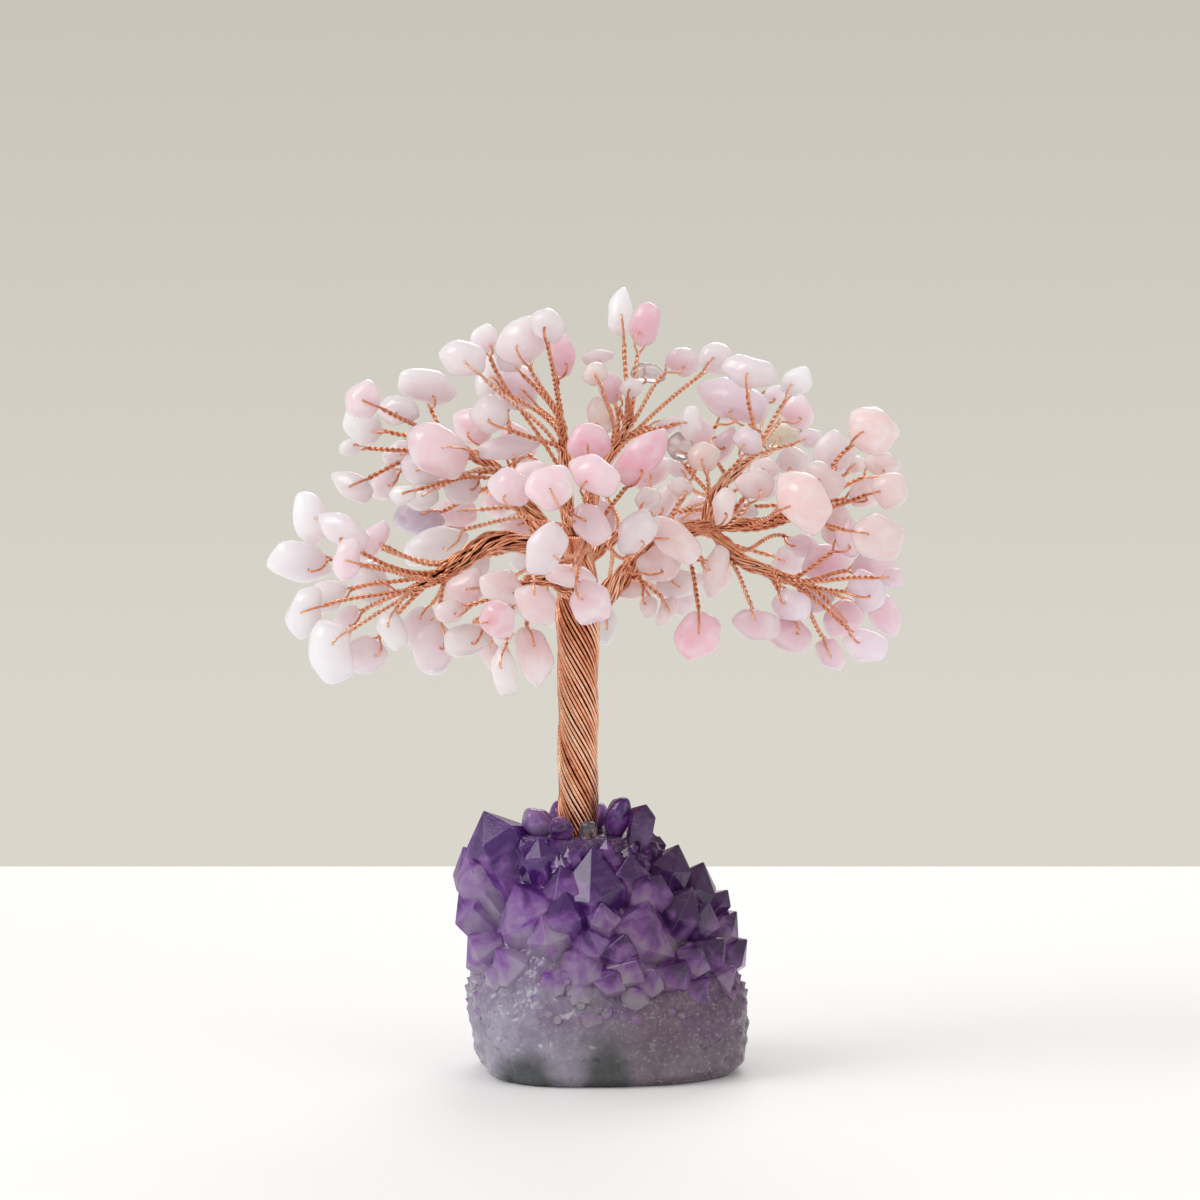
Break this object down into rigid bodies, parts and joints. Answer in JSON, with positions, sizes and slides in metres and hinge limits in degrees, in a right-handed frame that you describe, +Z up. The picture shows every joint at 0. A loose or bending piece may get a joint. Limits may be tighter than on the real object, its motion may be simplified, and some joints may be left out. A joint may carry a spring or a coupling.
{
  "type": "gemstone tree ornament",
  "caption": "Ornamental tree of twisted copper wire with drilled rose quartz chips as leaves, standing in an amethyst crystal cluster.",
  "frame": {"origin": "on the flat foot of the stone, under the axis of the trunk", "axes": "+Z up along the trunk, -Y towards the viewer of the front, +X to the viewer's right"},
  "size_m": [0.1273, 0.0903, 0.1573],
  "materials": {
    "amethyst": "glossy crystal faces over a pale rough matrix",
    "amethyst_chips": "tumbled",
    "rose_quartz": "tumbled",
    "copper": "bright drawn copper wire",
    "glue": "clear"
  },
  "bodies": {
    "stone_and_trunk": {"amethyst_cluster": "amethyst", "socket_glue": "glue", "foot_chips": "amethyst_chips", "trunk": "copper", "top_left_branch": "copper", "top_left_chips": "rose_quartz", "top_left_wires": "copper", "top_branch": "copper", "top_chips": "rose_quartz", "top_wires": "copper"},
    "left_low": {"left_low_branch": "copper", "left_low_chips": "rose_quartz", "left_low_wires": "copper"},
    "left_high": {"left_high_branch": "copper", "left_high_chips": "rose_quartz", "left_high_wires": "copper"},
    "right": {"right_branch": "copper", "right_chips": "rose_quartz", "right_wires": "copper"},
    "right_high": {"right_high_branch": "copper", "right_high_chips": "rose_quartz", "right_high_wires": "copper"},
    "right_low": {"right_low_branch": "copper", "right_low_chips": "rose_quartz", "right_low_wires": "copper"},
    "front": {"front_branch": "copper", "front_chips": "rose_quartz", "front_wires": "copper"},
    "front_left": {"front_left_branch": "copper", "front_left_chips": "rose_quartz", "front_left_wires": "copper"},
    "back_left": {"back_left_branch": "copper", "back_left_chips": "rose_quartz", "back_left_wires": "copper"},
    "back_right": {"back_right_branch": "copper", "back_right_chips": "rose_quartz", "back_right_wires": "copper"},
    "pendant": {"pendant_chip": "rose_quartz"}
  },
  "joints": [
    {"name": "left_low_bend", "type": "hinge", "parent": "stone_and_trunk", "child": "left_low", "pos_m": [-0.00368, -0.00092, 0.10212], "axis": [-0.2425, 0.9701, 0], "range_deg": [-4, 4]},
    {"name": "left_high_bend", "type": "hinge", "parent": "stone_and_trunk", "child": "left_high", "pos_m": [-0.00292, 0.00158, 0.10621], "axis": [0.4763, 0.8793, 0], "range_deg": [-4, 4]},
    {"name": "right_bend", "type": "hinge", "parent": "stone_and_trunk", "child": "right", "pos_m": [0.00424, -0.00181, 0.09496], "axis": [-0.3916, -0.9202, 0], "range_deg": [-4, 4]},
    {"name": "right_high_bend", "type": "hinge", "parent": "right", "child": "right_high", "pos_m": [0.02543, -0.00705, 0.11274], "axis": [0.8101, -0.5863, 0], "range_deg": [-4, 4]},
    {"name": "right_low_bend", "type": "hinge", "parent": "right", "child": "right_low", "pos_m": [0.02772, -0.00901, 0.1091], "axis": [-0.2847, -0.9586, 0], "range_deg": [-4, 4]},
    {"name": "front_bend", "type": "hinge", "parent": "stone_and_trunk", "child": "front", "pos_m": [0.00076, -0.00332, 0.10485], "axis": [-0.9751, -0.2216, 0], "range_deg": [-4, 4]},
    {"name": "front_left_bend", "type": "hinge", "parent": "stone_and_trunk", "child": "front_left", "pos_m": [-0.0023, -0.00337, 0.09769], "axis": [-0.8262, 0.5633, 0], "range_deg": [-4, 4]},
    {"name": "back_left_bend", "type": "hinge", "parent": "stone_and_trunk", "child": "back_left", "pos_m": [-0.00166, 0.00332, 0.1011], "axis": [0.8944, 0.4472, 0], "range_deg": [-4, 4]},
    {"name": "back_right_bend", "type": "hinge", "parent": "stone_and_trunk", "child": "back_right", "pos_m": [0.00193, 0.0029, 0.10314], "axis": [0.8321, -0.5547, 0], "range_deg": [-4, 4]},
    {"name": "pendant_swing", "type": "hinge", "parent": "right", "child": "pendant", "pos_m": [0.024, -0.0184, 0.09173], "axis": [0, -1, 0], "range_deg": [-20, 20]}
  ]
}
